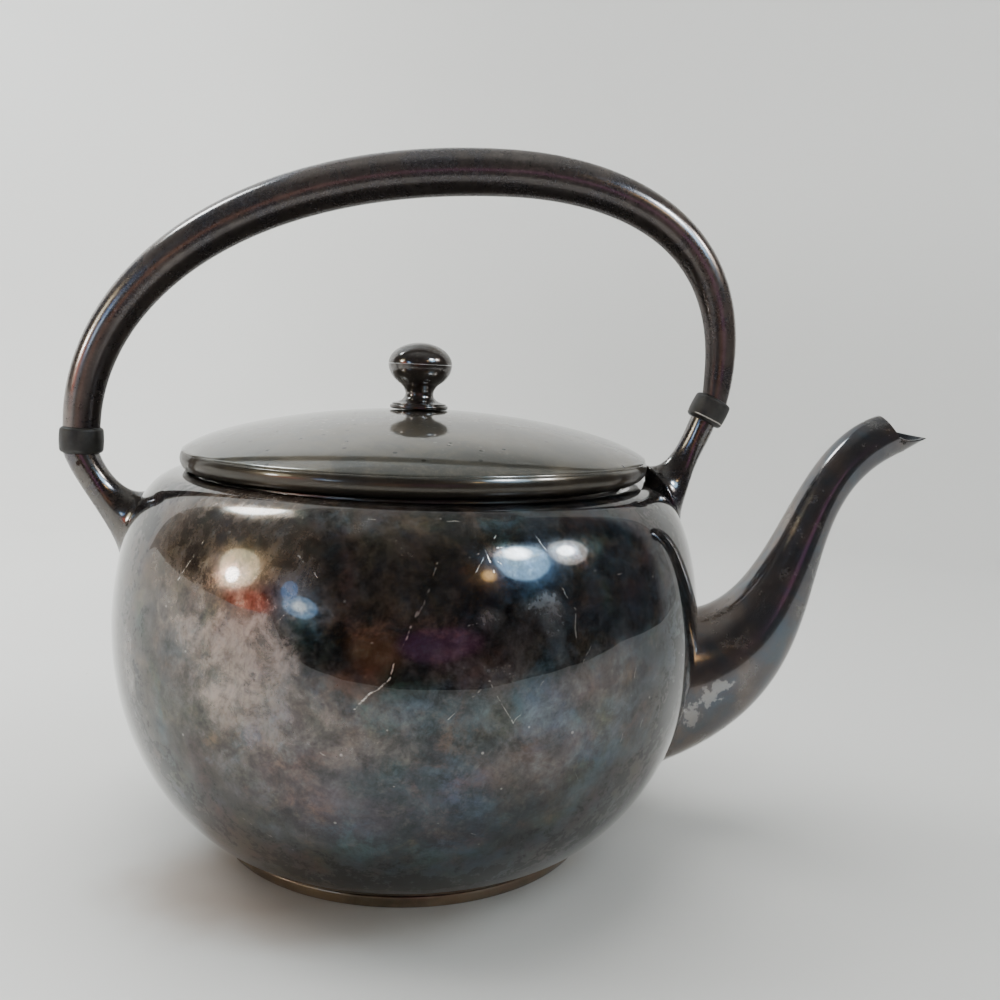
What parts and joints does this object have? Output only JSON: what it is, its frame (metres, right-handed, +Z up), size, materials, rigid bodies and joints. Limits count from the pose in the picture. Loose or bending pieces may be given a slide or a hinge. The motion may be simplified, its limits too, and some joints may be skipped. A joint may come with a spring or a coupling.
{
  "type": "teapot",
  "caption": "Round-bellied silver teapot with a curved spout, a fixed hoop handle on two insulating collars and a lift-off domed lid with a ball knob.",
  "frame": {"origin": "centre of the overall bounding box's footprint, on the plane the foot ring stands on", "axes": "+X from the rear of the hoop handle towards the spout, +Z up along the pot's axis, +Y across, so the symmetry plane is XZ"},
  "size_m": [0.251, 0.165, 0.1948],
  "materials": {
    "tarnished_silver": "polished silver plate over nickel silver, heavily tarnished",
    "collar_grey": "matte dark grey insulating composition",
    "plain_brass": "plain turned brass, unplated"
  },
  "bodies": {
    "pot": {"body_shell": "tarnished_silver", "mouth_ring": "tarnished_silver", "foot_ring": "tarnished_silver", "spout": "tarnished_silver", "handle_socket_rear": "tarnished_silver", "handle_socket_front": "tarnished_silver", "handle_bail": "tarnished_silver", "pin_rear_upper": "tarnished_silver", "pin_rear_lower": "tarnished_silver", "pin_front_upper": "tarnished_silver", "pin_front_lower": "tarnished_silver", "insulator_rear": "collar_grey", "insulator_front": "collar_grey"},
    "lid": {"lid_dome": "tarnished_silver", "lid_flange": "tarnished_silver", "knob_cap": "tarnished_silver", "knob_base": "tarnished_silver", "knob_stud": "plain_brass", "knob_washer": "plain_brass", "knob_nut": "plain_brass"}
  },
  "joints": [
    {"name": "lid_lift", "type": "slide", "parent": "pot", "child": "lid", "axis": [0, 0, 1], "range_m": [0, 0.034]}
  ]
}
